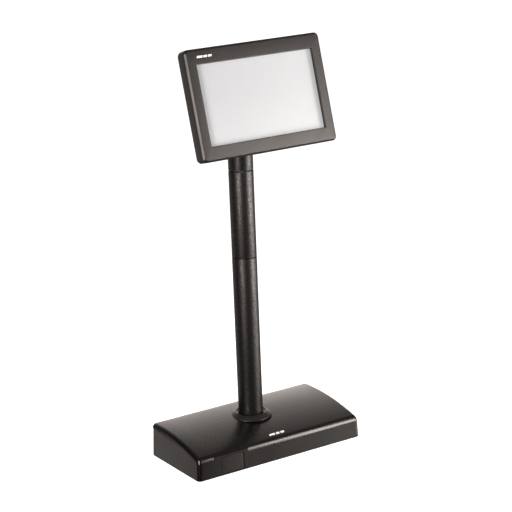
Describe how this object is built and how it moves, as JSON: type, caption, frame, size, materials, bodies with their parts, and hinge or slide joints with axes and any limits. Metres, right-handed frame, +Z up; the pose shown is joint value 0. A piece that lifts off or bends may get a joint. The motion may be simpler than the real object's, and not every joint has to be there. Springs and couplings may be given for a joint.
{
  "type": "customer pole display",
  "caption": "Retail customer display: a screen in a deep frame that tilts and turns on a textured round pole, on a low weighted base with a crowned top and a small front door.",
  "frame": {"origin": "on the table under the centre of the base", "axes": "+X to the viewer's right, -Y to the front where the screen faces, +Z up along the pole"},
  "size_m": [0.23, 0.1133, 0.4958],
  "materials": {
    "base_shell": "satin black moulded ABS",
    "pole_finish": "black leather-grain textured coat",
    "head_shell": "fine-textured warm black moulded ABS",
    "door_shell": "black moulded ABS",
    "inner_plastic": "black nylon",
    "steel": "zinc-plated steel",
    "dark_steel": "black powder-coated steel",
    "rubber": "matt black rubber",
    "bush": "natural acetal",
    "board": "green solder mask",
    "plug": "cream nylon",
    "cable": "black cable jacket",
    "window": "clear protective window",
    "screen": "pale unlit display panel",
    "foam": "black foam gasket"
  },
  "bodies": {
    "stand": {"base_cover": "base_shell", "base_pan": "dark_steel", "ballast_plate": "steel", "pole_flange": "steel", "pole_collar": "base_shell", "lower_pole_tube": "pole_finish", "upper_pole_tube": "pole_finish", "pole_joiner": "steel", "swivel_bush": "bush", "stand_harness": "cable", "harness_plug": "plug", "interface_board": "board", "dc_jack": "inner_plastic", "data_port": "inner_plastic", "switch_bay": "inner_plastic", "switch_frame": "inner_plastic", "foot_front_left": "rubber", "foot_front_right": "rubber", "foot_back_left": "rubber", "foot_back_right": "rubber", "flange_screw_1": "steel", "flange_screw_2": "steel", "flange_screw_3": "steel", "flange_screw_4": "steel", "pan_screw_1": "steel", "pan_screw_2": "steel", "pan_screw_3": "steel", "pan_screw_4": "steel"},
    "door": {"access_door": "door_shell"},
    "rocker": {"power_rocker": "inner_plastic"},
    "neck": {"neck_tube": "pole_finish", "swivel_spindle": "steel", "swivel_washer": "inner_plastic", "swivel_nut": "steel", "hinge_yoke": "base_shell", "yoke_screw_left": "steel", "yoke_screw_right": "steel", "tilt_bolt_left": "steel", "tilt_bolt_right": "steel", "tilt_nut_left": "steel", "tilt_nut_right": "steel", "tilt_washer_left": "bush", "tilt_washer_right": "bush", "neck_lead": "cable"},
    "head": {"front_bezel": "head_shell", "rear_cover": "head_shell", "window_gasket": "foam", "screen_window": "window", "lcd_panel": "screen", "lcd_frame": "steel", "control_board": "board", "board_plug": "plug", "head_lead": "cable", "tilt_bracket": "dark_steel", "bracket_screw_left": "steel", "bracket_screw_right": "steel", "cover_screw_1": "steel", "cover_screw_2": "steel", "cover_screw_3": "steel", "cover_screw_4": "steel"}
  },
  "joints": [
    {"name": "head_swivel", "type": "hinge", "parent": "stand", "child": "neck", "pos_m": [0, 0.01, 0.3425], "axis": [0, 0, 1], "range_deg": [-165, 165]},
    {"name": "head_tilt", "type": "hinge", "parent": "neck", "child": "head", "pos_m": [0, -0.0023, 0.4241], "axis": [1, 0, 0], "range_deg": [-20, 15]},
    {"name": "door_hinge", "type": "hinge", "parent": "stand", "child": "door", "pos_m": [-0.05395, -0.05275, 0.0134], "axis": [0, 0, 1], "range_deg": [0, 95]},
    {"name": "rocker_switch", "type": "hinge", "parent": "stand", "child": "rocker", "pos_m": [-0.06715, -0.0388, 0.0141], "axis": [0, 0, 1], "range_deg": [0, 14]}
  ]
}
